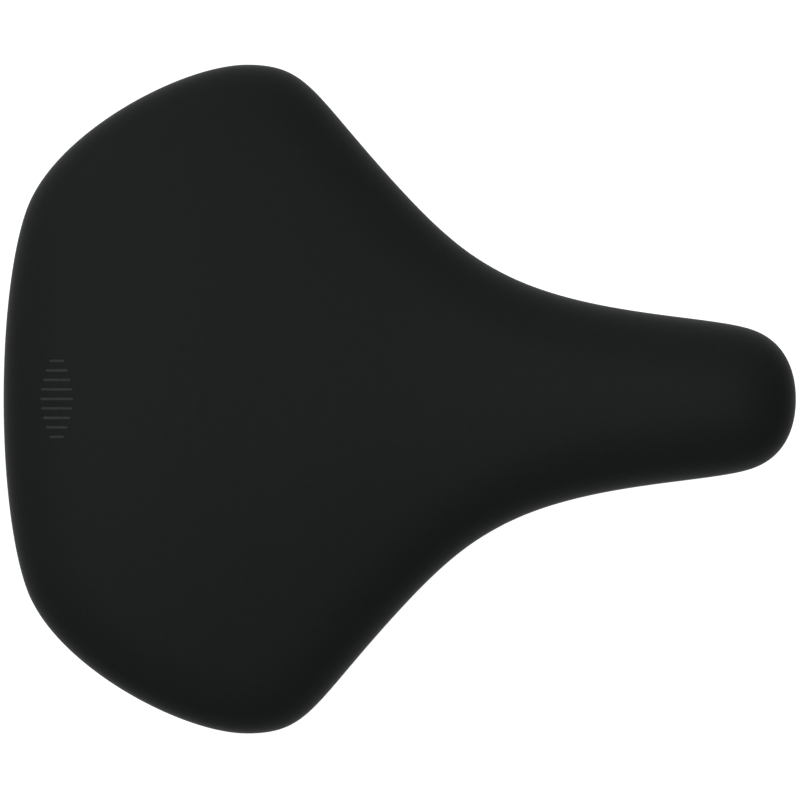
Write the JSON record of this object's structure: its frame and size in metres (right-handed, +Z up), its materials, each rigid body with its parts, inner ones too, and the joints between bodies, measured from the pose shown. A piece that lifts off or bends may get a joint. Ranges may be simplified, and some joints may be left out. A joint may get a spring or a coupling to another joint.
{
  "type": "bicycle saddle",
  "caption": "Wide cushioned bicycle saddle with gel pads in foam on a moulded base, hinged at the nose on a steel rail frame, sprung at the rear, with a clamp for a plain seatpost.",
  "frame": {"origin": "on the axis of the seatpost bore, level with the clamp bolt", "axes": "+X towards the nose, +Y to the rider's left, +Z up; the seatpost leaves along -Z"},
  "size_m": [0.26, 0.22, 0.1124],
  "materials": {
    "cover_skin": "satin",
    "foam": "matte",
    "gel": "gloss",
    "base_plastic": "matte",
    "black_steel": "satin",
    "spring_steel": "gloss",
    "zinc_steel": "satin",
    "nylon": "satin"
  },
  "bodies": {
    "post_clamp": {"post_collar": "zinc_steel"},
    "rail_clamp": {"inner_rail_cup_left": "zinc_steel", "inner_rail_cup_right": "zinc_steel", "outer_rail_cup_left": "zinc_steel", "outer_rail_cup_right": "zinc_steel", "clamp_bolt": "zinc_steel", "clamp_nut": "zinc_steel", "clamp_washers": "zinc_steel"},
    "undercarriage": {"rail_left": "black_steel", "rail_right": "black_steel", "nose_sleeve": "black_steel", "pivot_bush_left": "nylon", "pivot_bush_right": "nylon", "rear_bridge": "black_steel", "lower_spring_cup_left": "black_steel", "lower_spring_cup_right": "black_steel", "lower_spring_bolts": "zinc_steel", "lower_spring_nuts": "zinc_steel", "spring_left": "spring_steel", "spring_right": "spring_steel"},
    "seat_top": {"cover": "cover_skin", "foam_pad": "foam", "gel_pad_left": "gel", "gel_pad_right": "gel", "base_shell": "base_plastic", "cover_staples": "zinc_steel", "nose_bracket": "black_steel", "nose_bracket_screws": "zinc_steel", "pivot_bolt": "zinc_steel", "pivot_nut": "zinc_steel", "upper_spring_cup_left": "black_steel", "upper_spring_cup_right": "black_steel", "upper_spring_bolts": "zinc_steel"}
  },
  "joints": [
    {"name": "saddle_tilt", "type": "hinge", "parent": "post_clamp", "child": "rail_clamp", "pos_m": [-0.024, 0, 0], "axis": [0, 1, 0], "range_deg": [-20, 20]},
    {"name": "saddle_slide", "type": "slide", "parent": "rail_clamp", "child": "undercarriage", "axis": [1, 0, 0], "range_m": [-0.02, 0.02]},
    {"name": "suspension", "type": "hinge", "parent": "undercarriage", "child": "seat_top", "pos_m": [0.104, 0, 0.036], "axis": [0, -1, 0], "range_deg": [0, 4.2], "stiffness_Nm_per_rad": 2230, "deforming": ["spring_left", "spring_right"]}
  ]
}
